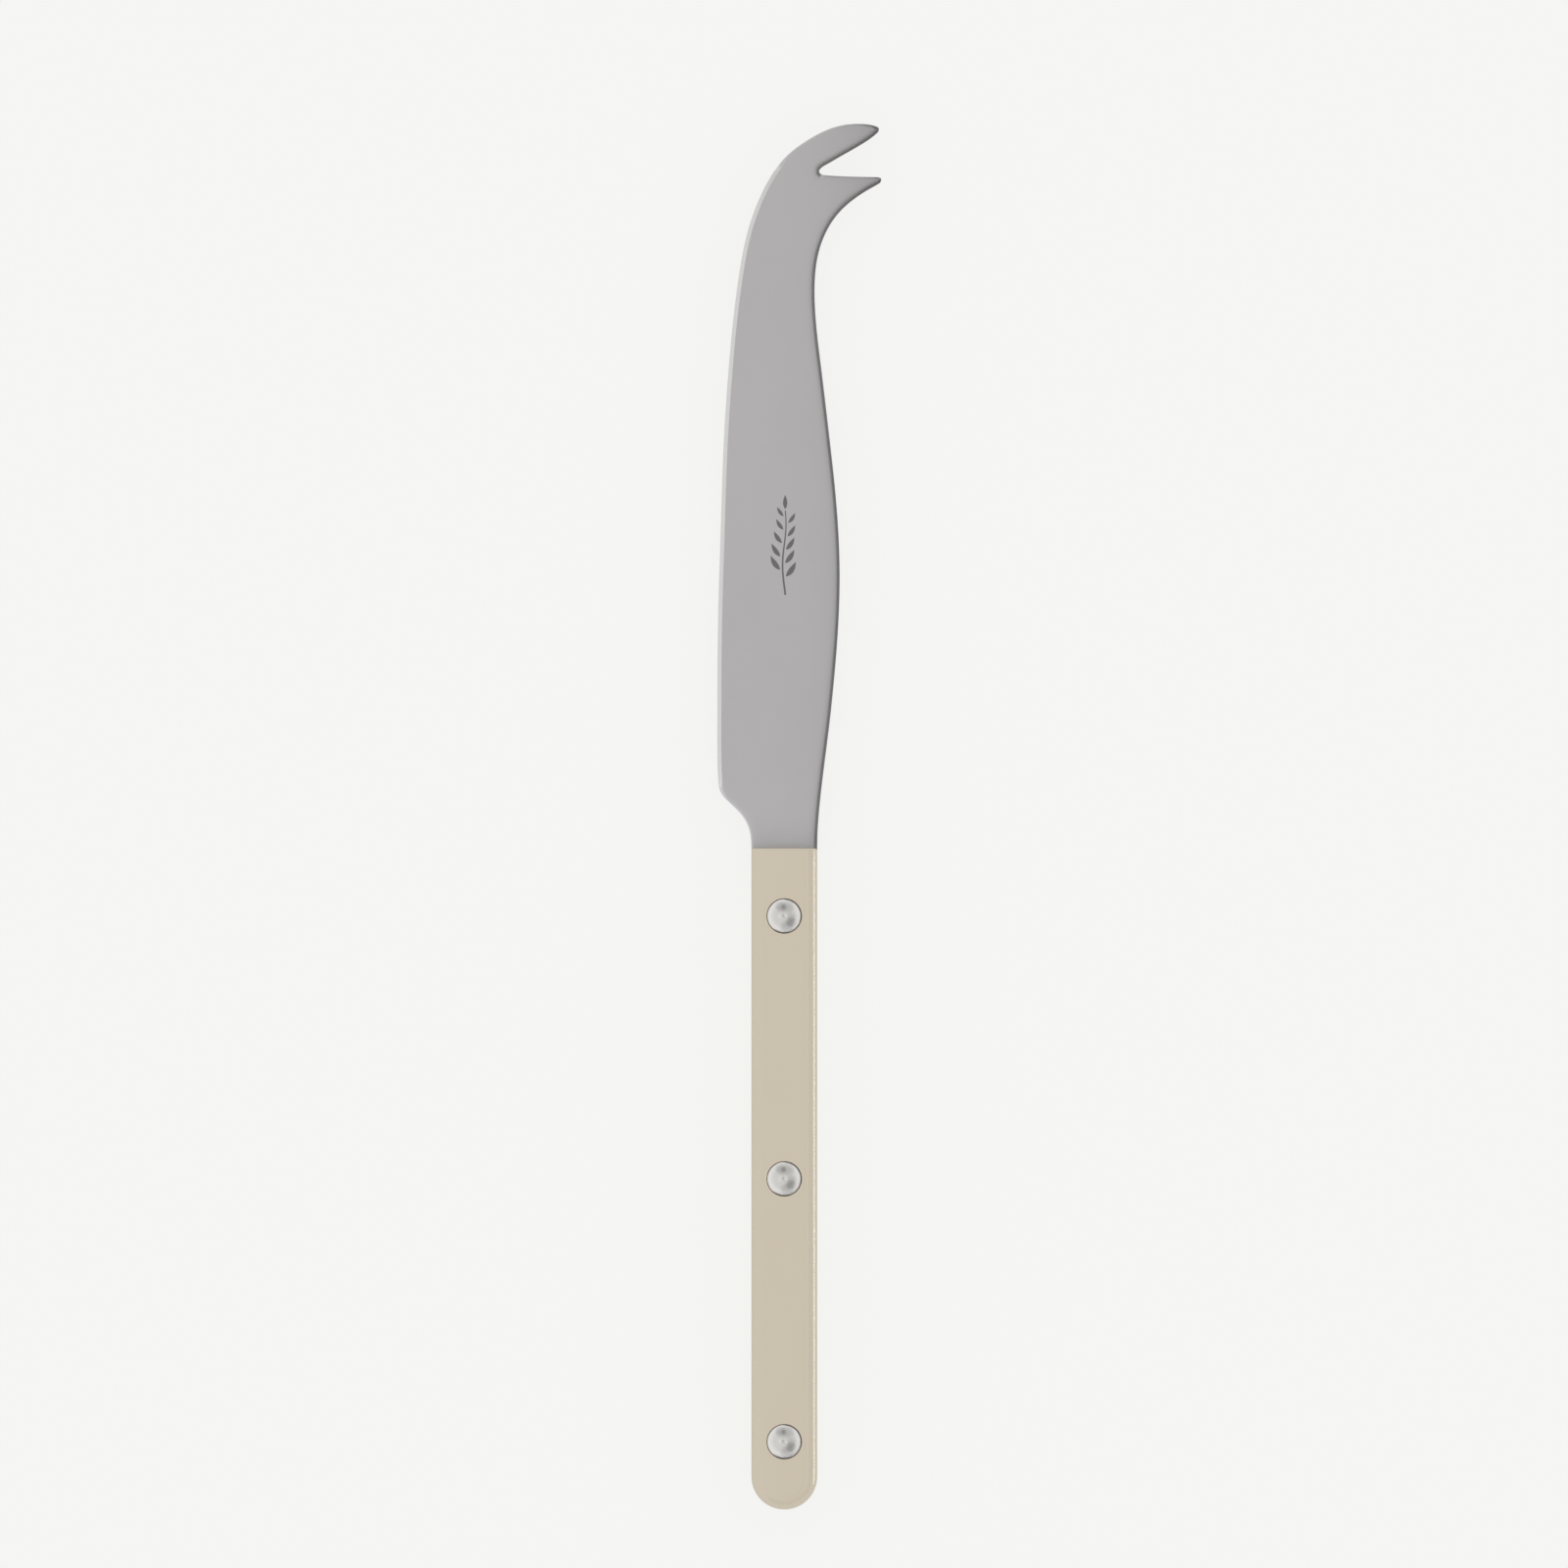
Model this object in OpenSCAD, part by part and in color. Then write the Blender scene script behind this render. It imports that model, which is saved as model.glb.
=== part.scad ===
// Fork-tipped cheese knife with a riveted two-scale handle.
// It lies flat: +Z is up through its thickness, +Y points along the blade to the fork,
// and +X points to the back of the blade, the side that the fork turns to.
// Millimetres. The origin is the centre of the underside of the whole knife's box.

/* [Blade] */
// Thickness of the steel sheet that the blade and tang are cut from
steel_t = 1.6; // [1.2:0.1:2.4]
// Length of the blade, from the front of the handle to the top of the fork
blade_l = 125.5; // [125:0.1:127]
// Distance from the handle's centre line to the cutting edge at its widest
edge_reach = 11.6; // [10:0.1:13]
// Distance from the handle's centre line to the tip of the lower prong
prong_reach = 16.8; // [16.6:0.1:18]
// Width of the ground bevel, across each face
bevel_w = 0.7; // [0.4:0.05:1.2]
// Thickness left at the cutting edge
edge_t = 0.3; // [0.1:0.05:0.6]
// Radius of the softened edges everywhere else on the steel
soften_r = 0.25; // [0.1:0.05:0.3]

/* [Handle] */
// Length of the handle scales
handle_l = 114.5; // [100:0.1:130]
// Width of the handle scales and of the tang between them
handle_w = 11.4; // [10:0.1:12]
// Thickness of one scale
scale_t = 3.2; // [2.6:0.1:4]
// Radius of the long rounded edges of a scale
scale_round = 1.9; // [1:0.1:2.4]
// Radius of the front corners of a scale, seen from above
corner_r = 0.5; // [0.2:0.1:1]
// Radius of the front upper edge of a scale
front_round = 0.35; // [0.2:0.05:0.8]

/* [Rivets] */
// Distance from the front of the handle to the middle of the first rivet
first_rivet = 11.7; // [9:0.1:14]
// Distance between rivets
rivet_pitch = 45.5; // [40:0.1:47]
// Diameter of a rivet head
head_d = 5.9; // [5:0.1:6]
// Gap around a rivet head in its seat
head_gap = 0.125; // [0.1:0.025:0.3]
// Depth of the seat in a scale
seat_depth = 1.2; // [1:0.1:1.8]
// Height of the head's domed crown above its rim
crown_h = 0.45; // [0.3:0.05:0.6]
// How far the crown stands above the scale
crown_proud = 0.3; // [0.1:0.05:0.4]
// Diameter of the solid shank of a rivet stud
stud_d = 2.4; // [2:0.1:2.6]
// Outer diameter of the tubular shank of a rivet sleeve
sleeve_d = 3.6; // [3.4:0.1:4]
// Clearance on radius between shanks and holes
shank_gap = 0.03; // [0.02:0.01:0.06]

/* [Hidden] */
$fn = 96;

steel_half = steel_t / 2;
handle_half = handle_w / 2;
// Heights above the middle plane of the steel
scale_top = steel_half + scale_t;
crown_top = scale_top + crown_proud;
seat_floor = scale_top - seat_depth;
// Middle of the knife's box, seen from above, measured from the front of the handle
mid_x = (prong_reach - edge_reach) / 2;
mid_y = (blade_l - handle_l) / 2;

// ---- Outline of the steel ----
// Each knot is [x, y, heading], with the heading in degrees: 90 runs towards the fork.
// The curve between two knots leaves and arrives at their headings. The knots run
// from the handle up the cutting edge, round the fork and down the back.
edge_knots = [
    [-handle_half, 0, 90],
    [-5.9, 2.6, 101],
    [-8.2, 6.7, 136],
    [-9.8, 8.25, 138],
    [-11.1, 9.9, 112],
    [-11.5, 12.5, 92.5],
    [-edge_reach, 24, 90],
    [-11.25, 48, 88],
    [-10.1, 77, 86],
    [-8.1, 97.6, 82],
    [-5.2, 110.4, 69],
    [0, 119.5, 47]
];
fork_knots = [
    [4.9, 123.2, 31],
    [12.4, blade_l, 0],
    [15.7, 125.15, -18],
    [16.4, 124.6, -90],
    [16.1, 123.95, -137],
    [14.3, 122.55, -147],
    [7.7, 118.7, -149],
    [6.6, 118.05, -140],
    [6.05, 117.35, -95],
    [6.9, 116.65, -6],
    [16.3, 116.25, -2],
    [prong_reach, 115.85, -90],
    [16.3, 115.1, -152]
];
back_knots = [
    [12.3, 112.65, -144],
    [9.9, 110.6, -134],
    [6.6, 105.3, -111],
    [5.25, 96.5, -90],
    [6.5, 82.4, -83],
    [8.3, 67, -83.5],
    [9.6, 47, -90],
    [8.1, 24, -96],
    [6.45, 10.5, -96.5],
    [handle_half, 0, -90]
];
// The first and the last knot of the ground bevel on the cutting edge
bevel_from = 3;
bevel_to = 11;
// Height over which the bevel grows from the heel, and length over which it stops at the fork
heel_fade = 4.5;
fork_fade = 1;
// Longest step and widest turn between two points of the outline
max_step = 3;
max_turn = 8;

blade_knots = concat(edge_knots, fork_knots, back_knots);

function direction(a) = [cos(a), sin(a)];
function turn(a, b) = (b - a + 900) % 360 - 180;
// Speed that keeps a curve between two headings close to a circular arc
function speed(p, q) = norm([q.x - p.x, q.y - p.y]) / pow(cos(turn(p.z, q.z) / 4), 2);
function curve(p, q, t) =
    (2 * t ^ 3 - 3 * t ^ 2 + 1) * [p.x, p.y]
    + (t ^ 3 - 2 * t ^ 2 + t) * speed(p, q) * direction(p.z)
    + (3 * t ^ 2 - 2 * t ^ 3) * [q.x, q.y]
    + (t ^ 3 - t ^ 2) * speed(p, q) * direction(q.z);
function slope(p, q, t) =
    (6 * t ^ 2 - 6 * t) * ([p.x, p.y] - [q.x, q.y])
    + (3 * t ^ 2 - 4 * t + 1) * speed(p, q) * direction(p.z)
    + (3 * t ^ 2 - 2 * t) * speed(p, q) * direction(q.z);
function steps(p, q) =
    max(2, ceil(norm([q.x - p.x, q.y - p.y]) / max_step), ceil(abs(turn(p.z, q.z)) / max_turn));

// 1 on the ground bevel, 0 elsewhere, at parameter t after knot i
function ground(i, t) =
    let (p = blade_knots[i], q = blade_knots[i + 1], run = norm([q.x - p.x, q.y - p.y]))
    i < bevel_from || i >= bevel_to ? 0
    : min(1, (curve(p, q, t).y - blade_knots[bevel_from].y) / heel_fade,
          i == bevel_to - 1 ? (1 - t) * run / fork_fade : 1);

// Outline stations: [point, inward direction, share of bevel]
function station(p, v, share) = [p, [v.y, -v.x] / norm(v), share];
blade_stations = [
    for (i = [0 : len(blade_knots) - 2])
        let (p = blade_knots[i], q = blade_knots[i + 1], n = steps(p, q))
        for (j = [0 : n - 1]) station(curve(p, q, j / n), slope(p, q, j / n), ground(i, j / n))
];
tang_steps = 36;
tang_stations = [
    for (j = [0 : tang_steps])
        let (a = -180 * j / tang_steps)
        station([0, handle_half - handle_l] + handle_half * direction(a), direction(a - 90), 0)
];
stations = concat(blade_stations, [station([handle_half, 0], [0, -1], 0)], tang_stations);

// Section of the steel's edge at a station: ring 0 is the lower face's border, the last
// ring is the upper face's. A softened edge is a quarter round, a ground one is flat.
edge_steps = 3;
ring_count = 2 * edge_steps + 2;
function edge_point(s, k) =
    let (
        above = k > edge_steps,
        t = above ? (k - edge_steps - 1) / edge_steps : (edge_steps - k) / edge_steps,
        soft = [soften_r * (1 - cos(90 * t)), steel_half - soften_r * (1 - sin(90 * t))],
        flat = [bevel_w * t, edge_t / 2 + (steel_half - edge_t / 2) * t],
        at = soft * (1 - s[2]) + flat * s[2],
        p = s[0] + s[1] * at[0]
    )
    [p.x, p.y, above ? at[1] : -at[1]];

// Cutting a flat outline into triangles. The outline p runs clockwise; ids are the corners
// still to be cut, and an ear is a corner that comes off without covering another corner.
function twice_area(a, b, c) = (b.x - a.x) * (c.y - a.y) - (b.y - a.y) * (c.x - a.x);
function covers(a, b, c, q) =
    twice_area(a, b, q) <= 0 && twice_area(b, c, q) <= 0 && twice_area(c, a, q) <= 0;
function is_ear(p, ids, i) =
    let (n = len(ids), a = ids[i - 1], b = ids[i], c = ids[(i + 1) % n])
    twice_area(p[a], p[b], p[c]) < 0
    && len([for (k = ids) if (k != a && k != b && k != c && covers(p[a], p[b], p[c], p[k])) k]) == 0;
function next_ear(p, ids, i = 1) =
    i == len(ids) - 1 || is_ear(p, ids, i) ? i : next_ear(p, ids, i + 1);
// Takes one ear after another, going round the outline
function triangles(p, ids, done = []) =
    len(ids) == 3 ? concat(done, [ids])
    : let (n = len(ids), e = next_ear(p, ids))
      triangles(p, [for (k = [e + 1 : e + n - 1]) ids[k % n]],
                concat(done, [[ids[e - 1], ids[e], ids[(e + 1) % n]]]));

module steel_plate() {
    n = len(stations);
    last = (ring_count - 1) * n;
    points = [for (k = [0 : ring_count - 1]) for (s = stations) edge_point(s, k)];
    sides = [
        for (k = [0 : ring_count - 2]) for (i = [0 : n - 1])
            let (j = (i + 1) % n)
            [k * n + i, k * n + j, (k + 1) * n + j, (k + 1) * n + i]
    ];
    flat = triangles([for (i = [0 : n - 1]) points[i]], [for (i = [0 : n - 1]) i]);
    underside = [for (t = flat) [t[2], t[1], t[0]]];
    upper = [for (t = flat) [last + t[0], last + t[1], last + t[2]]];
    polyhedron(points, concat(sides, underside, upper));
}

// ---- Placing ----
// Moves a shape from the handle's front end on the middle plane into the knife's frame
module in_frame() {
    translate([-mid_x, -mid_y, crown_top]) children();
}

module at_rivet(i) {
    translate([0, -first_rivet - rivet_pitch * i, 0]) children();
}

// ---- Parts ----
module blade() {
    color([0.69, 0.68, 0.69]) in_frame()
        difference() {
            steel_plate();
            for (i = [0 : 2])
                at_rivet(i) cylinder(h = 2 * steel_t, d = sleeve_d + 2 * shank_gap, center = true);
        }
}

// Half of the section across a scale, x outwards and y up from the middle plane
module scale_section() {
    flat = handle_half - scale_round;
    difference() {
        union() {
            translate([0, steel_half]) square([handle_half, scale_t - scale_round]);
            translate([0, steel_half]) square([flat, scale_t]);
            translate([flat, scale_top - scale_round]) circle(scale_round);
        }
        translate([-handle_w, 0]) square([handle_w, crown_top]);
        translate([0, -handle_w]) square([2 * handle_w, handle_w + steel_half]);
    }
}

// The scale with a square front: a bar with a half-round butt
module scale_bar() {
    straight = handle_l - handle_half;
    translate([0, -straight, 0]) {
        rotate([90, 0, 180]) linear_extrude(straight) {
            scale_section();
            mirror([1, 0]) scale_section();
        }
        rotate([0, 0, 180]) rotate_extrude(angle = 180) scale_section();
    }
}

// Seen from above: rounded front corners
module scale_plan() {
    translate([0, -handle_l / 2]) square([handle_w, handle_l - 2 * corner_r], center = true);
    translate([0, -handle_l / 2 - corner_r])
        square([handle_w + 2, handle_l - 2 * corner_r], center = true);
    translate([-handle_half + corner_r, -corner_r]) circle(corner_r);
    translate([handle_half - corner_r, -corner_r]) circle(corner_r);
    translate([-handle_half + corner_r, -2 * corner_r]) square([handle_w - 2 * corner_r, 2 * corner_r]);
}

// Seen from the side: rounded upper front edge
module scale_side() {
    square([handle_l + 1, scale_top - front_round]);
    translate([front_round, 0]) square([handle_l + 1, scale_top]);
    translate([front_round, scale_top - front_round]) circle(front_round);
}

module scale() {
    difference() {
        intersection() {
            scale_bar();
            linear_extrude(scale_top + 1) scale_plan();
            translate([handle_w, 0, 0]) rotate([90, 0, -90]) linear_extrude(2 * handle_w) scale_side();
        }
        for (i = [0 : 2])
            at_rivet(i) {
                cylinder(h = crown_top, d = sleeve_d + 2 * shank_gap);
                translate([0, 0, seat_floor]) cylinder(h = scale_t, d = head_d + 2 * head_gap);
            }
    }
}

module front_scale() {
    color([0.80, 0.76, 0.69]) in_frame() scale();
}

module back_scale() {
    color([0.80, 0.76, 0.69]) in_frame() rotate([0, 180, 0]) scale();
}

// A rivet head: a short cylinder with a shallow spherical crown
module rivet_head() {
    dome_r = (pow(head_d / 2, 2) + pow(crown_h, 2)) / (2 * crown_h);
    rotate_extrude() intersection() {
        translate([0, seat_floor]) square([head_d / 2, crown_top - seat_floor]);
        translate([0, crown_top - dome_r]) circle(dome_r, $fn = 360);
    }
}

// The head on the front scale, with a solid shank
module rivet_stud(i) {
    color([0.86, 0.86, 0.86]) in_frame() at_rivet(i) {
        rivet_head();
        translate([0, 0, -seat_floor + shank_gap])
            cylinder(h = 2 * seat_floor, d = stud_d);
    }
}

// The head on the back scale, with a tubular shank that the stud is pressed into
module rivet_sleeve(i) {
    color([0.84, 0.84, 0.84]) in_frame() at_rivet(i) rotate([0, 180, 0]) {
        rivet_head();
        translate([0, 0, -seat_floor + 2 * shank_gap])
            difference() {
                cylinder(h = 2 * seat_floor - shank_gap, d = sleeve_d);
                translate([0, 0, -1])
                    cylinder(h = 2 * seat_floor + 1, d = stud_d + 2 * shank_gap);
            }
    }
}

blade();
front_scale();
back_scale();
for (i = [0 : 2]) {
    rivet_stud(i);
    rivet_sleeve(i);
}
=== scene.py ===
"""Looks of a fork-tipped cheese knife with a riveted beige handle.

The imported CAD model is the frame. Each of its nodes is replaced by a finer piece that has the
same place and size: the steel gets its rounded and ground edges, the scales their fillets and
the rims of their rivet seats, and the rivets their turned heads. Everything is in metres.
"""
import math

import bpy
import numpy as np
from mathutils import Matrix, Vector
from mathutils.geometry import delaunay_2d_cdt


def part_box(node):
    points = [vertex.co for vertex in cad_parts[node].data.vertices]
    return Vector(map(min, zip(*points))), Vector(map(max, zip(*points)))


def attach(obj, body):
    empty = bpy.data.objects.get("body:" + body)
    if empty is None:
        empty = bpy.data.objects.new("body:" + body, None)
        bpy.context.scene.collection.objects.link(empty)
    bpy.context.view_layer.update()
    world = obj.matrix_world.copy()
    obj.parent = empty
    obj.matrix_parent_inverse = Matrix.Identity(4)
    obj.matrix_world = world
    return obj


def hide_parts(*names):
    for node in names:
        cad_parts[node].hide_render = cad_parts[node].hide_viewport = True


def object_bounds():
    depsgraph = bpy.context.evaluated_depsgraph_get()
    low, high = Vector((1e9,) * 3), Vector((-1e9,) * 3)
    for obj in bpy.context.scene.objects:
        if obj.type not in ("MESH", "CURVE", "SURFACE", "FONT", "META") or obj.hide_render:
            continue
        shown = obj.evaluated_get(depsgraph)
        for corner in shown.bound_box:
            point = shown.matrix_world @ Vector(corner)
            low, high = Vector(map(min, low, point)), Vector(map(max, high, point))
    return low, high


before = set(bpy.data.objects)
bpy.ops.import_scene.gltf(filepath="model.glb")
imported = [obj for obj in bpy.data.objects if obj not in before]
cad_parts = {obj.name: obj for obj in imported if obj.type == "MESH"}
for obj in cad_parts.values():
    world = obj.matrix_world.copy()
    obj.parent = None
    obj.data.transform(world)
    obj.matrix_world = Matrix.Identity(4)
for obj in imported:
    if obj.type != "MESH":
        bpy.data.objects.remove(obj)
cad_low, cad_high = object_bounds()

MM = 0.001

# ---- Places, from the frame ----
steel_low, steel_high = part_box("blade")
scale_low, scale_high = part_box("front_scale")
steel_middle = (steel_low.z + steel_high.z) / 2
steel_half = (steel_high.z - steel_low.z) / 2
handle_x = (scale_low.x + scale_high.x) / 2
handle_half = (scale_high.x - scale_low.x) / 2
handle_front = scale_high.y
butt_y = scale_low.y + handle_half
RIVETS = (1, 2, 3)
rivet_boxes = [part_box(f"rivet_stud_{i}") for i in RIVETS]
rivet_spots = [((low.x + high.x) / 2, (low.y + high.y) / 2) for low, high in rivet_boxes]
head_r = (rivet_boxes[0][1].x - rivet_boxes[0][0].x) / 2
crown_top = rivet_boxes[0][1].z
shank_end = rivet_boxes[0][0].z

# ---- Sizes of the fine detail ----
# The steel: its ground bevel, the radii of its rounded edges and how far they turn, its softer heel, the
# faint slope beside its edges, where the rounding changes under the scales, and how far the painted shade
# on the steel reaches from the handle
bevel_w = 0.7 * MM
edge_round = 0.7 * MM
spine_round = 2.6 * MM
tang_round = 0.47 * MM
edge_tilt = math.radians(27.5)
heel_spot = (steel_low.x + 2.4 * MM, handle_front + 7.6 * MM)
heel_reach = 3 * MM
shoulder_w = 1.9 * MM
shoulder_drop = 0.06 * MM
tang_fade = 3 * MM
painted_shade_reach = 6.5 * MM

# The scales: their long edges, front edge and corners, and the seats and bores for the rivets
scale_round_w = 2.7 * MM
scale_round_h = 1.7 * MM
front_round = 0.35 * MM
corner_r = 0.5 * MM
seat_gap = 0.1 * MM
seat_depth = 1.2 * MM
seat_draft = 0.01 * MM
rim_round = 0.08 * MM
bore_r = 1.83 * MM

# The rivets: their shanks, and their domed heads with a dimple in the middle
stud_r = 1.2 * MM
sleeve_r = 1.8 * MM
sleeve_hole_r = 1.23 * MM
crown_h = 0.45 * MM
head_round = 0.05 * MM
pip_r = 0.6 * MM
pip_depth = 0.045 * MM

# The etched sprig: its middle and length, and how far it stands above the steel and reaches into it
sprig_y = handle_front + 52.6 * MM
sprig_l = 17.4 * MM
sprig_rise = 0.006 * MM
sprig_sunk = 0.02 * MM

seat_r = head_r + seat_gap
seat_floor = scale_high.z - seat_depth


# ---- Outlines ----
def arc(centre, radius, start, end, step=5):
    """Points on an arc, from one angle in degrees to another."""
    count = max(2, math.ceil(abs(end - start) / step))
    angles = np.radians(np.linspace(start, end, count + 1))
    return [(centre[0] + radius * math.cos(a), centre[1] + radius * math.sin(a), 0) for a in angles]


def circle(centre, radius, count=96):
    """Points round a circle."""
    return np.array(arc(centre, radius, 0, 360, 360 / count)[:-1])


def cad_outline(node):
    """The outline of a CAD plate, anticlockwise, each point with half the height of the wall there."""
    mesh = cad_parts[node].data
    middle = sum(corner.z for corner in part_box(node)) / 2
    after = {}
    for face in mesh.polygons:
        corners = [mesh.vertices[i].co for i in face.vertices]
        if abs(face.normal.z) > 0.001:
            continue
        for a, b in zip(corners, corners[1:] + corners[:1]):
            if max(a.z, b.z) < middle and (a.xy - b.xy).length > 0.001 * MM:
                after[tuple(round(v, 7) for v in a.xy)] = (a, b)
    loops = []
    while after:
        loop, key = [], next(iter(after))
        while key in after:
            a, b = after.pop(key)
            loop.append((a.x, a.y, middle - a.z))
            key = tuple(round(v, 7) for v in b.xy)
        loops.append(loop)
    return np.array(max(loops, key=len))


def headings(loop):
    """The direction of a closed loop at each point: that of the circle through it and its neighbours."""
    back = loop[:, :2] - np.roll(loop, 1, 0)[:, :2]
    ahead = np.roll(loop, -1, 0)[:, :2] - loop[:, :2]
    along = back / (back ** 2).sum(1, keepdims=True) + ahead / (ahead ** 2).sum(1, keepdims=True)
    return along / np.linalg.norm(along, axis=1, keepdims=True)


def refined(loop, spacing, straight=4 * MM):
    """The smooth curve through a closed loop, with closer points. A side longer than straight is straight."""
    loop = np.array(loop)
    along = headings(loop)
    out = []
    for i, p in enumerate(loop):
        j = (i + 1) % len(loop)
        q = loop[j]
        span = np.linalg.norm(q[:2] - p[:2])
        pieces = math.ceil(span / spacing)
        for t in np.arange(pieces) / pieces:
            point = p + (q - p) * t
            if span < straight:
                ease = (3 - 2 * t) * t * t
                point[:2] = (p + (q - p) * ease)[:2]
                point[:2] += span * t * (1 - t) * ((1 - t) * along[i] - t * along[j])
            out.append(point)
    return np.array(out)


def nearest(points, loop):
    """For each point, its distance from a closed loop, and the loop's further values at the nearest place."""
    start, run = loop[:, :2], np.roll(loop, -1, 0) - loop
    squared_run = (run[:, :2] ** 2).sum(1)
    distances, values = [], []
    for some in np.array_split(points, max(1, len(points) // 400)):
        gap = some[:, None, :2] - start
        share = np.clip((gap * run[:, :2]).sum(2) / squared_run, 0, 1)
        squared = ((gap - share[..., None] * run[:, :2]) ** 2).sum(2)
        best = squared.argmin(1)
        row = np.arange(len(some))
        distances.append(np.sqrt(squared[row, best]))
        values.append(loop[best, 2:] + run[best, 2:] * share[row, best][:, None])
    return np.concatenate(distances), np.concatenate(values).T


def rings(loop, depths):
    """Points at each depth inside a closed loop, less those that come out nearer to another side."""
    along = headings(loop)
    inward = np.column_stack([-along[:, 1], along[:, 0]])
    kept = []
    for depth in depths:
        points = loop[:, :2] + depth * inward
        distance, _ = nearest(points, loop)
        kept.append(points[distance > 0.97 * depth])
    return np.vstack(kept)


def grid(loop, pitch, depth):
    """Staggered points inside a closed loop, at least depth from it."""
    low, high = loop[:, :2].min(0), loop[:, :2].max(0)
    rows = np.arange(low[1], high[1], pitch * 0.87)
    points = np.array([
        (x + (k % 2) * pitch / 2, y)
        for k, y in enumerate(rows)
        for x in np.arange(low[0], high[0], pitch)
    ])
    start, end = loop[:, :2], np.roll(loop, -1, 0)[:, :2]
    crosses = (start[:, 1] > points[:, None, 1]) != (end[:, 1] > points[:, None, 1])
    rise = np.where(end[:, 1] == start[:, 1], 1, end[:, 1] - start[:, 1])
    at = start[:, 0] + (points[:, None, 1] - start[:, 1]) * (end[:, 0] - start[:, 0]) / rise
    inside = (crosses & (points[:, None, 0] < at)).sum(1) % 2 == 1
    distance, _ = nearest(points, loop)
    return points[inside & (distance > depth)]


def clear_of(points, spots, radius):
    """The points that lie further than radius from every spot."""
    for spot in spots:
        points = points[np.hypot(points[:, 0] - spot[0], points[:, 1] - spot[1]) > radius]
    return points


# ---- Solids ----
def piece(name, vertices, faces, materials, crease=32):
    """A new mesh object that is smooth except where it turns by more than crease degrees."""
    mesh = bpy.data.meshes.new(name)
    mesh.from_pydata([tuple(v) for v in vertices], [], faces)
    mesh.validate()
    mesh.shade_smooth()
    mesh.set_sharp_from_angle(angle=math.radians(crease))
    for material in materials:
        mesh.materials.append(material)
    made = bpy.data.objects.new(name, mesh)
    bpy.context.scene.collection.objects.link(made)
    return made


def plan(loops, inner, spots, hole_r):
    """Triangles between the first loop and the round holes, through all the points. Anticlockwise."""
    points, edges = [], []
    for loop in loops:
        first = len(points)
        points += [Vector(p[:2]) / MM for p in loop]
        edges += [(first + i, first + (i + 1) % len(loop)) for i in range(len(loop))]
    points += [Vector(p) / MM for p in inner]
    flat, _, faces = delaunay_2d_cdt(points, edges, [], 1, 1e-5)[:3]
    flat = np.array([v[:] for v in flat]) * MM
    middles = flat[np.array(faces)].mean(1)
    open_to = np.zeros(len(faces), bool)
    for spot in spots:
        open_to |= np.hypot(middles[:, 0] - spot[0], middles[:, 1] - spot[1]) < hole_r
    return flat, [tuple(face) for face, gone in zip(faces, open_to) if not gone]


def plate(name, loops, inner, spots, hole_r, surfaces, materials):
    """A closed solid from a plan: an upper and a lower surface, and upright walls round its borders."""
    flat, faces = plan(loops, inner, spots, hole_r)
    upper, lower = surfaces(flat)
    count = len(flat)
    vertices = np.vstack([np.column_stack([flat, upper]), np.column_stack([flat, lower])])
    sides = {(a, b) for f in faces for a, b in zip(f, f[1:] + f[:1])}
    walls = [(a + count, b + count, b, a) for a, b in sorted(sides) if (b, a) not in sides]
    underside = [tuple(i + count for i in reversed(f)) for f in faces]
    return piece(name, vertices, faces + underside + walls, materials)


def lathe(name, profile, place, materials, segments=128):
    """Turns a profile of (radius, height) about an upright axis that stands at place."""
    vertices, rows = [], []
    for radius, height in profile:
        turns = 1 if radius == 0 else segments
        rows.append([len(vertices) + i % turns for i in range(segments + 1)])
        for i in range(turns):
            angle = 2 * math.pi * i / segments
            vertices.append((radius * math.cos(angle), radius * math.sin(angle), height))
    faces = []
    pairs = zip(rows, rows[1:] + rows[:1]) if profile[0][0] > 0 else zip(rows, rows[1:])
    for low, high in pairs:
        for i in range(segments):
            corners = (low[i], low[i + 1], high[i + 1], high[i])
            face = tuple(c for k, c in enumerate(corners) if c not in corners[:k])
            if len(face) > 2:
                faces.append(face)
    made = piece(name, vertices, faces, materials)
    made.location = place
    return made


def quarter(depth, width, height):
    """How far a quarter-round edge has fallen, at a depth in from the wall."""
    x = 1 - np.clip(depth / width, 0, 1)
    return height * (1 - np.sqrt(1 - x * x))


def turned_over(made):
    """Turns a piece upside down, about the handle's middle line."""
    middle = Vector((handle_x, 0, steel_middle))
    made.matrix_world = (
        Matrix.Translation(middle)
        @ Matrix.Rotation(math.pi, 4, "Y")
        @ Matrix.Translation(-middle)
        @ Matrix.Translation(made.location)
    )
    return made


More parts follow.
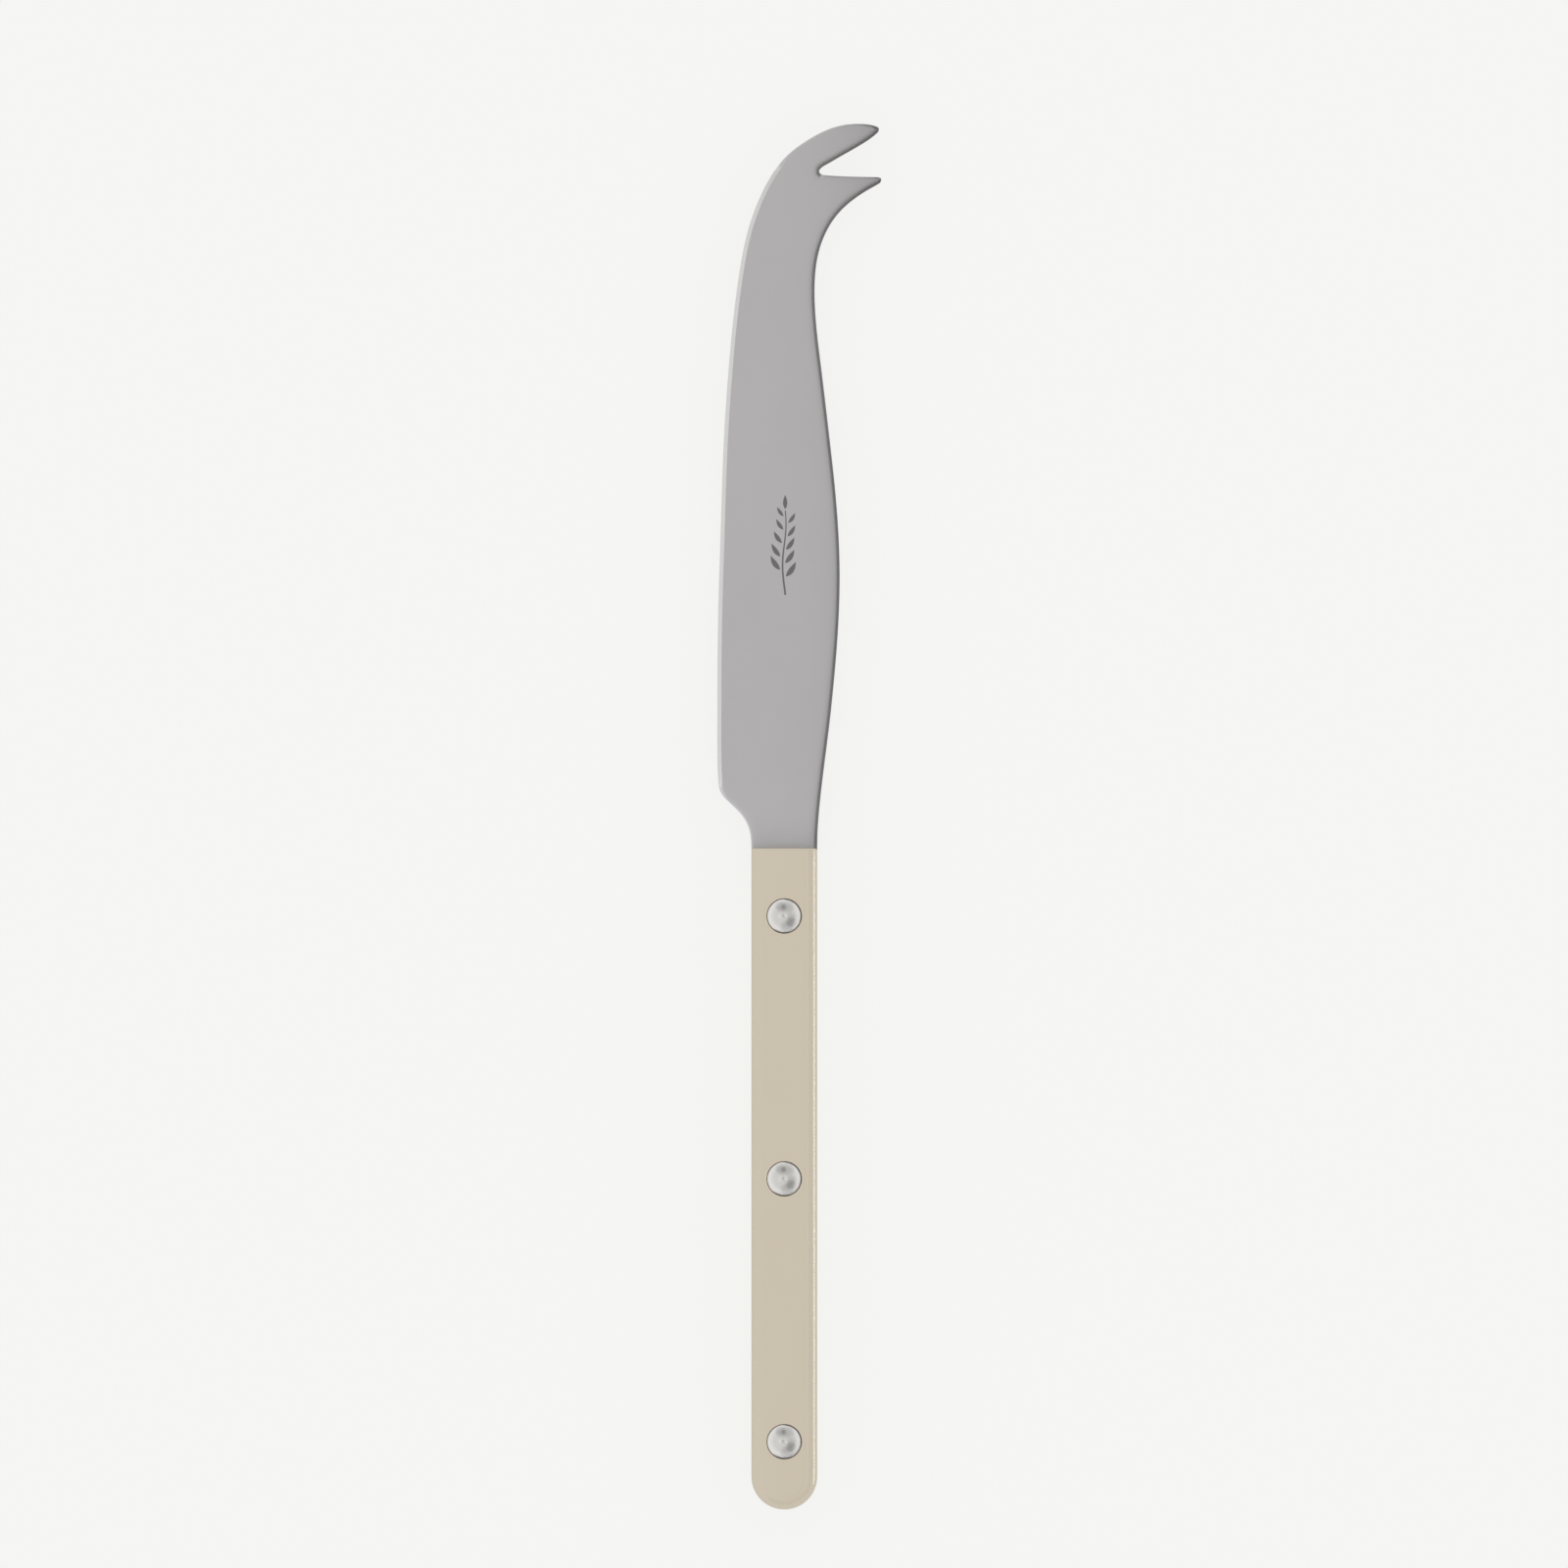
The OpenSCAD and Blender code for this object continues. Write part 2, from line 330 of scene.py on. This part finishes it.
# ---- Materials ----
class Look:
    """A material in the making: its nodes, with short ways to add and join them."""

    def __init__(self, name, colour, metallic, roughness, **more):
        self.material = bpy.data.materials.new(name)
        self.material.use_nodes = True
        self.material.diffuse_color = (*colour, 1)
        self.tree = self.material.node_tree
        self.shader = self.tree.nodes["Principled BSDF"]
        self.shader.inputs["Base Color"].default_value = (*colour, 1)
        self.shader.inputs["Metallic"].default_value = metallic
        self.shader.inputs["Roughness"].default_value = roughness
        for socket, value in more.items():
            self.shader.inputs[socket.replace("_", " ")].default_value = value
        self.coordinates = self.tree.nodes.new("ShaderNodeTexCoord").outputs["Object"]

    def node(self, kind, links, **settings):
        made = self.tree.nodes.new(kind)
        for key, value in settings.items():
            setattr(made, key, value)
        for socket, value in links.items():
            if isinstance(value, bpy.types.NodeSocket):
                self.tree.links.new(value, made.inputs[socket])
            else:
                made.inputs[socket].default_value = value
        return made

    def stretched(self, lengths):
        """Coordinates in which lengths, in metres along X, Y and Z, are each 1."""
        scale = [1 / length for length in lengths]
        links = {"Vector": self.coordinates, "Scale": scale}
        return self.node("ShaderNodeMapping", links).outputs["Vector"]

    def noise(self, lengths, detail=2, roughness=0.5):
        """Smooth random values from 0 to 1, with blotches of about those lengths."""
        links = {"Vector": self.stretched(lengths), "Scale": 1, "Detail": detail, "Roughness": roughness}
        return self.node("ShaderNodeTexNoise", links).outputs["Fac"]

    def spread(self, value, low, high, start=0.3, end=0.7):
        """Values from start to end, spread from low to high."""
        links = {"Value": value, "From Min": start, "From Max": end, "To Min": low, "To Max": high}
        return self.node("ShaderNodeMapRange", links, clamp=True).outputs["Result"]

    def mixed(self, value, first, second):
        """One colour where value is 0, another where it is 1."""
        links = {0: value, 6: (*first, 1), 7: (*second, 1)}
        return self.node("ShaderNodeMix", links, data_type="RGBA").outputs[2]

    def product_plus(self, first, second, added):
        """first times second, plus added."""
        links = {0: first, 1: second, 2: added}
        return self.node("ShaderNodeMath", links, operation="MULTIPLY_ADD").outputs[0]

    def bump(self, height, distance, before=None):
        """Raises the surface by distance where height is 1."""
        links = {"Height": height, "Distance": distance, "Strength": 1}
        if before:
            links["Normal"] = before
        return self.node("ShaderNodeBump", links).outputs["Normal"]

    def set(self, socket, value):
        self.tree.links.new(value, self.shader.inputs[socket])


def satin_steel():
    """Tumbled stainless sheet: a fine grain over faint brushing, with painted shade that darkens it towards
    the back and the handle.
    """
    look = Look("satin_steel", (0.66, 0.643, 0.653), 1, 0.36)
    cloud = look.noise((9 * MM, 14 * MM, 9 * MM), 3)
    grain = look.noise((0.16 * MM, 0.16 * MM, 0.16 * MM), 2, 0.6)
    brushing = look.noise((0.1 * MM, 5 * MM, 0.1 * MM), 2)
    place = look.node("ShaderNodeSeparateXYZ", {0: look.coordinates}).outputs
    # Painted shade: besides a faint random cloudiness, the base colour darkens towards the spine side and
    # over the last few millimetres before the handle's front, where the handle shades the steel.
    across = look.spread(place["X"], 0, 1, steel_low.x, steel_high.x)
    rightward = look.node("ShaderNodeMath", {0: across, 1: 4}, operation="POWER").outputs[0]
    painted_handle_shade = look.spread(place["Y"], 0.85, 0, handle_front, handle_front + painted_shade_reach)
    shade = look.product_plus(cloud, 0.16, look.product_plus(painted_handle_shade, painted_handle_shade, rightward))
    look.set("Base Color", look.mixed(shade, (0.656, 0.639, 0.648), (0.504, 0.494, 0.498)))
    look.set("Roughness", look.spread(grain, 0.33, 0.41))
    look.set("Normal", look.bump(brushing, 0.0008 * MM, look.bump(grain, 0.0015 * MM)))
    return look.material


def ground_steel():
    """The ground bevel: brighter than the sheet, with the wheel's fine marks."""
    look = Look("ground_steel", (0.7, 0.695, 0.69), 1, 0.26)
    marks = look.noise((0.5 * MM, 0.07 * MM, 0.5 * MM), 2)
    look.set("Roughness", look.spread(marks, 0.22, 0.3))
    look.set("Normal", look.bump(marks, 0.0005 * MM))
    return look.material


def beige_resin():
    """Polished opaque resin, very slightly cloudy."""
    look = Look("beige_resin", (0.673, 0.592, 0.473), 0, 0.14, IOR=1.5)
    cloud = look.noise((6 * MM, 22 * MM, 6 * MM), 3)
    polish = look.noise((4 * MM, 11 * MM, 4 * MM), 1)
    look.set("Base Color", look.mixed(cloud, (0.664, 0.583, 0.46), (0.682, 0.602, 0.486)))
    look.set("Roughness", look.spread(polish, 0.12, 0.17))
    look.set("Normal", look.bump(polish, 0.0003 * MM))
    return look.material


def turned_steel():
    """The polished rivet heads: fine turning rings and a few soft dents from the peening."""
    look = Look("turned_steel", (0.76, 0.74, 0.72), 1, 0.12)
    dents = look.noise((0.9 * MM, 0.9 * MM, 0.9 * MM), 1)
    spots = look.noise((0.35 * MM, 0.35 * MM, 0.35 * MM), 2)
    look.set("Roughness", look.spread(spots, 0.09, 0.16))
    look.set("Normal", look.bump(dents, 0.006 * MM, look.bump(spots, 0.0015 * MM)))
    return look.material


def etched_steel():
    """The matt dark grey of an acid-etched mark."""
    look = Look("etched_steel", (0.26, 0.255, 0.26), 1, 0.55)
    grain = look.noise((0.12 * MM, 0.12 * MM, 0.12 * MM), 2)
    look.set("Roughness", look.spread(grain, 0.48, 0.62))
    look.set("Normal", look.bump(grain, 0.003 * MM))
    return look.material


steel, ground, resin = satin_steel(), ground_steel(), beige_resin()
turned, etched = turned_steel(), etched_steel()


# ---- The blade and its tang ----
def make_blade():
    loop = refined(cad_outline("blade"), 0.6 * MM)
    loop[:, :2] = np.clip(loop[:, :2], steel_low.xy, steel_high.xy)
    rightward = headings(loop)[:, 1]
    rightward = sum(np.roll(rightward, k) for k in range(-4, 5)) / 9
    loop = np.column_stack([loop, rightward])
    soft_wall, edge_wall = loop[:, 2].max(), loop[:, 2].min()

    def ground_share(wall):
        return (soft_wall - wall) / (soft_wall - edge_wall)

    def surfaces(flat):
        depth, (wall, faces_right) = nearest(flat, loop)
        grind = ground_share(wall)
        in_handle = np.clip((handle_front - flat[:, 1]) / tang_fade, 0, 1)
        rounding = edge_round + (spine_round - edge_round) * np.clip(faces_right / 0.5, 0, 1)
        rounding += (tang_round - rounding) * in_handle
        from_heel = np.hypot(flat[:, 0] - heel_spot[0], flat[:, 1] - heel_spot[1])
        rounding *= 1 + np.clip(1 - from_heel / heel_reach, 0, 1)
        round_w = rounding * math.sin(edge_tilt)
        inward = np.clip(depth / (round_w + (bevel_w - round_w) * grind), 0, 1)
        lean = (1 - inward) * math.sin(edge_tilt)
        round_fall = rounding * (1 - np.sqrt(1 - lean * lean))
        round_fall += shoulder_drop * (1 - np.clip(depth / shoulder_w, 0, 1)) ** 3
        bevel_fall = (steel_half - edge_wall) * (1 - inward)
        half = steel_half - round_fall * (1 - grind) - bevel_fall * grind
        return steel_middle + half, steel_middle - half

    depths = np.array([0.02, 0.07, 0.13, 0.2, 0.28, 0.36, 0.45, 0.54, 0.62, 0.7, 0.8, 1, 1.3, 1.6, 1.9]) * MM
    inner = np.vstack([rings(loop, depths), grid(loop, 2.5 * MM, 2.4 * MM)])
    inner = clear_of(inner, rivet_spots, bore_r + 0.3 * MM)
    holes = [circle(spot, bore_r, 48) for spot in rivet_spots]
    blade = plate("knife_blade", [loop, *holes], inner, rivet_spots, bore_r, surfaces, [steel, ground])
    middles = np.array([face.center[:] for face in blade.data.polygons])
    depth, (wall, _) = nearest(middles[:, :2], loop)
    on_bevel = (depth < bevel_w) & (ground_share(wall) > 0.5)
    blade.data.polygons.foreach_set("material_index", on_bevel.astype(np.int32))
    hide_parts("blade")
    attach(blade, "root")


make_blade()


# ---- The etched sprig on its face ----
def ribbon(spine, halves):
    """Vertices and faces of a thin closed solid along a line of points, halves its half-widths."""
    heading = np.gradient(spine, axis=0)
    across = np.column_stack([-heading[:, 1], heading[:, 0]])
    across *= (halves / np.linalg.norm(heading, axis=1))[:, None]
    sides = [spine - across, spine + across]
    vertices = []
    for z in (steel_high.z - sprig_sunk, steel_high.z + sprig_rise):
        for side in sides:
            vertices += [(x, y, z) for x, y in side]
    count = len(spine)
    right_low, left_low, right_high, left_high = (count * i for i in range(4))
    section = [left_low, right_low, right_high, left_high]
    faces = [tuple(section)]
    for i in range(count - 1):
        for a, b in zip(section[1:] + section[:1], section):
            faces.append((a + i, b + i, b + i + 1, a + i + 1))
    faces.append(tuple(corner + count - 1 for corner in reversed(section)))
    return vertices, faces


def make_sprig():
    """A stem with leaves by turns on either side, like any leafy twig."""
    def stem_at(y):
        return np.array([handle_x + 0.3 * MM * math.sin(y / sprig_l * 2.4 * math.pi), sprig_y + y])

    stem_y = np.linspace(-sprig_l / 2, sprig_l * 0.34, 24)
    parts = [ribbon(np.array([stem_at(y) for y in stem_y]), np.linspace(0.17, 0.09, 24) * MM)]
    leaves = [(-0.33 + 0.067 * i, 1 - 2 * (i % 2), 3.0 - 0.12 * i) for i in range(10)] + [(0.345, 0, 2.4)]
    for up, side, length in leaves:
        start = stem_at(up * sprig_l) + np.array([side * 0.3, abs(side) * 0.1]) * MM
        t = np.linspace(0, 1, 13)
        turn = math.radians(90) - side * np.radians(48 - 26 * t)
        step = length * MM / 12
        spine = start + np.cumsum(np.column_stack([np.cos(turn), np.sin(turn)]) * step, axis=0)
        halves = 0.155 * length * MM * np.sin(math.pi * (0.02 + 0.96 * t) ** 0.85)
        parts.append(ribbon(spine, np.maximum(halves, 0.01 * MM)))
    vertices, faces = [], []
    for some_vertices, some_faces in parts:
        faces += [tuple(i + len(vertices) for i in face) for face in some_faces]
        vertices += some_vertices
    sprig = piece("etched_sprig", vertices, faces, [etched])
    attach(sprig, "root")


make_sprig()


# ---- The handle's scales ----
def make_scale(name, node):
    corners = [(handle_x + side * (handle_half - corner_r), handle_front - corner_r) for side in (1, -1)]
    loop = refined(
        arc((handle_x, butt_y), handle_half, 180, 360, 4)
        + arc(corners[0], corner_r, 0, 90, 10)
        + arc(corners[1], corner_r, 90, 180, 10),
        1.2 * MM,
    )

    def surfaces(flat):
        x, y = flat[:, 0] - handle_x, flat[:, 1]
        side = handle_half - np.where(y > butt_y, abs(x), np.hypot(x, y - butt_y))
        fall = quarter(side, scale_round_w, scale_round_h)
        fall += quarter(handle_front - y, front_round, front_round)
        upper = scale_high.z - fall
        for spot in rivet_spots:
            from_spot = np.hypot(flat[:, 0] - spot[0], y - spot[1])
            upper -= quarter(from_spot - seat_r, rim_round, rim_round)
            upper = np.where(from_spot < seat_r - seat_draft / 2, seat_floor, upper)
        return upper, np.full(len(flat), scale_low.z)

    depths = [0.01, 0.035, 0.08, 0.14, 0.22, *np.linspace(0.3, 0.72, 8)]
    depths += [0.84, 0.97, 1.15, 1.4, 1.7, 2, 2.3, 2.6, 2.8]
    inner = [rings(loop, np.array(depths) * MM), grid(loop, 1.3 * MM, 3 * MM)]
    inner = [clear_of(points, rivet_spots, seat_r + 0.35 * MM) for points in inner]
    rim = np.array([0, 0.006, 0.02, 0.045, 0.08, 0.12, 0.2]) * MM
    for spot in rivet_spots:
        inner += [circle(spot, seat_r + r)[:, :2] for r in (-seat_draft, *rim)]
        inner.append(circle(spot, (seat_r + bore_r) / 2, 48)[:, :2])
    holes = [circle(spot, bore_r, 48) for spot in rivet_spots]
    scale = plate(name, [loop, *holes], np.vstack(inner), rivet_spots, bore_r, surfaces, [resin])
    if node == "back_scale":
        turned_over(scale)
    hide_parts(node)
    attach(scale, "root")
    return scale


scales = [make_scale("scale_front", "front_scale"), make_scale("scale_back", "back_scale")]


# ---- The rivets ----
def head_profile():
    """The outside of a rivet head, from the foot of its wall to its middle. Heights are above the seat."""
    top = crown_top - seat_floor
    dome_r = (head_r ** 2 + crown_h ** 2) / (2 * crown_h)
    rim = top - crown_h
    edge = [(head_r, 0), (head_r, rim - head_round), (head_r - 0.3 * head_round, rim - 0.3 * head_round)]
    dome = []
    for r in np.append(np.linspace(head_r - head_round, pip_r, 24), np.linspace(pip_r, 0, 9)[1:]):
        dimple = pip_depth * (1 + math.cos(math.pi * min(1, r / pip_r))) / 2
        dome.append((r, top - dome_r + math.sqrt(dome_r ** 2 - r ** 2) - dimple))
    return edge + dome


def make_rivet(i, spot):
    place = (*spot, seat_floor)
    foot = shank_end - seat_floor
    stud = lathe(f"stud_{i}", [(0, foot), (stud_r, foot), (stud_r, 0)] + head_profile(), place, [turned])
    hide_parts(f"rivet_stud_{i}")
    bore_top = foot + seat_depth
    shell = [(0, bore_top), (sleeve_hole_r, bore_top), (sleeve_hole_r, foot), (sleeve_r, foot), (sleeve_r, 0)]
    sleeve = turned_over(lathe(f"sleeve_{i}", shell + head_profile(), place, [turned]))
    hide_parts(f"rivet_sleeve_{i}")
    for part in (stud, sleeve):
        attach(part, "root")
    return [stud, sleeve]


rivets = sum((make_rivet(number, spot) for number, spot in zip(RIVETS, rivet_spots)), [])


# ---- Camera ----
view_width = 271.64 * MM
view_x, view_y = -2.65 * MM, 5.64 * MM
lens = 400
camera = bpy.data.objects.new("camera", bpy.data.cameras.new("camera"))
camera.data.lens = lens
camera.data.sensor_width = 36
camera.data.clip_end = 20
camera.location = (view_x, view_y, steel_high.z + view_width * lens / camera.data.sensor_width)
bpy.context.scene.collection.objects.link(camera)
bpy.context.scene.camera = camera

# ---- Floor ----
PALE = (0.896, 0.896, 0.880)


def make_floor():
    """A plain pale floor, lit mostly from within so that it keeps one tone, and less so for the knife."""
    look = Look("pale_floor", PALE, 0, 1, Specular_IOR_Level=0)
    look.shader.inputs["Base Color"].default_value = (0.1, 0.1, 0.098, 1)
    look.shader.inputs["Emission Color"].default_value = (*PALE, 1)
    camera_ray = look.node("ShaderNodeLightPath", {}).outputs["Is Camera Ray"]
    look.set("Emission Strength", look.spread(camera_ray, 0.7, 0.925, 0, 1))
    reach = 20
    corners = [(-reach, -reach, 0), (reach, -reach, 0), (reach, reach, 0), (-reach, reach, 0)]
    floor = piece("floor", corners, [(0, 1, 2, 3)], [look.material])
    floor.location.z = cad_low.z


make_floor()


# ---- Light ----
# What hangs over the table and shows as soft dark or bright spots in the polished rivet heads:
# degrees from the vertical, compass direction anticlockwise from +X, half-width, share of the tent's light
OVERHEAD = [
    (20, 110, 13, 0.68),
    (17, 95, 6, 0.65),
    (19, 70, 16, 0.75),
    (5.5, 110, 2.5, 0.75),
    (19, -42, 12.5, 0.6),
    (14, -14, 12, 0.8),
    (23, -75, 16, 0.72),
    (4.5, -66, 2, 0.8),
    (8.5, 190, 6, 1.12),
    (1.5, 30, 3.5, 1.1),
    (62, 135, 32, 0.66),  # low to the left, so seen only from the butt and the right
]


def towards(tilt, compass):
    """The direction that is tilt degrees from the vertical, on a compass direction."""
    tilt, compass = math.radians(tilt), math.radians(compass)
    return (math.sin(tilt) * math.cos(compass), math.sin(tilt) * math.sin(compass), math.cos(tilt))


def make_world():
    """A light tent: greyer overhead, bright walls, and a dark band on the wall to the right of the knife."""
    world = bpy.data.worlds.new("studio")
    bpy.context.scene.world = world
    world.cycles.sampling_method = "NONE"
    world.use_nodes = True
    tree = world.node_tree
    tree.nodes.clear()

    def node(kind, links, **settings):
        made = tree.nodes.new(kind)
        for key, value in settings.items():
            setattr(made, key, value)
        for socket, value in links.items():
            if isinstance(value, bpy.types.NodeSocket):
                tree.links.new(value, made.inputs[socket])
            else:
                made.inputs[socket].default_value = value
        return made

    def eased(value, start, end, low=0, high=1):
        links = {"Value": value, "From Min": start, "From Max": end, "To Min": low, "To Max": high}
        return node("ShaderNodeMapRange", links, interpolation_type="SMOOTHSTEP").outputs["Result"]

    def mixed(share, first, second):
        return node("ShaderNodeMix", {0: share, 2: first, 3: second}).outputs[0]

    def product(first, second):
        return node("ShaderNodeMath", {0: first, 1: second}, operation="MULTIPLY").outputs[0]

    def along(other):
        links = {0: direction, 1: other}
        return node("ShaderNodeVectorMath", links, operation="DOT_PRODUCT").outputs["Value"]

    def cosine(degrees):
        return math.cos(math.radians(degrees))

    direction = node("ShaderNodeTexCoord", {}).outputs["Generated"]
    height = along((0, 0, 1))
    level = node("ShaderNodeVectorMath", {0: direction, 1: (1, 1, 0)}, operation="MULTIPLY").outputs[0]
    compass = node("ShaderNodeVectorMath", {0: level}, operation="NORMALIZE").outputs[0]
    dark_links = {0: compass, 1: towards(90, -17)}
    dark_side = node("ShaderNodeVectorMath", dark_links, operation="DOT_PRODUCT").outputs["Value"]
    ceiling = mixed(eased(height, cosine(29), cosine(20)), 0.97, 0.8)
    dark_wall = mixed(eased(height, cosine(70), cosine(61)), 0.8, 0.05)
    walls = mixed(eased(dark_side, -0.5, -0.1), 0.97, dark_wall)
    tent = mixed(eased(height, cosine(31), cosine(38)), ceiling, walls)
    for tilt, turn, width, left in OVERHEAD:
        shade = eased(along(towards(tilt, turn)), cosine(width), cosine(0.3 * width), 1, left)
        tent = product(tent, shade)
    # Matt surfaces are lit by an even sky. Only reflections show the tent.
    even = eased(height, 1, 0, 0.82, 1)
    path = node("ShaderNodeLightPath", {})
    light = mixed(path.outputs["Is Diffuse Ray"], tent, even)
    lit = node("ShaderNodeBackground", {"Color": (1, 1, 0.995, 1), "Strength": light})
    plain = node("ShaderNodeBackground", {"Color": (*PALE, 1), "Strength": 1})
    links = {0: path.outputs["Is Camera Ray"], 1: lit.outputs[0], 2: plain.outputs[0]}
    node("ShaderNodeOutputWorld", {"Surface": node("ShaderNodeMixShader", links).outputs[0]})


def make_panel(name, place, tilt, compass, size, energy, lit):
    """A light panel, not seen itself, that shines from tilt and compass on some pieces only."""
    light = bpy.data.lights.new(name, "AREA")
    light.shape = "RECTANGLE"
    light.size, light.size_y = size
    light.energy = energy
    panel = bpy.data.objects.new(name, light)
    panel.location = place
    panel.rotation_euler = (0, math.radians(tilt), math.radians(compass))
    panel.visible_camera = False
    panel.visible_diffuse = False
    receivers = bpy.data.collections.new(f"lit_by_{name}")
    for part in lit:
        receivers.objects.link(part)
    panel.light_linking.receiver_collection = receivers
    bpy.context.scene.collection.objects.link(panel)


def make_panels():
    """A low strip for the handle's thin highlight, and a dim panel for the rivets as seen from behind."""
    middle_y = (handle_front + butt_y) / 2
    make_panel("strip", (1.0, middle_y, 0.16), 90, 0, (0.28, 0.7), 3.6, scales)
    behind = Vector((handle_x, middle_y, crown_top)) + Vector(towards(55, -45))
    make_panel("rivet_fill", behind, 55, -45, (0.52, 0.8), 0.52, rivets)


make_world()
make_panels()
bpy.context.scene.view_settings.view_transform = "Standard"
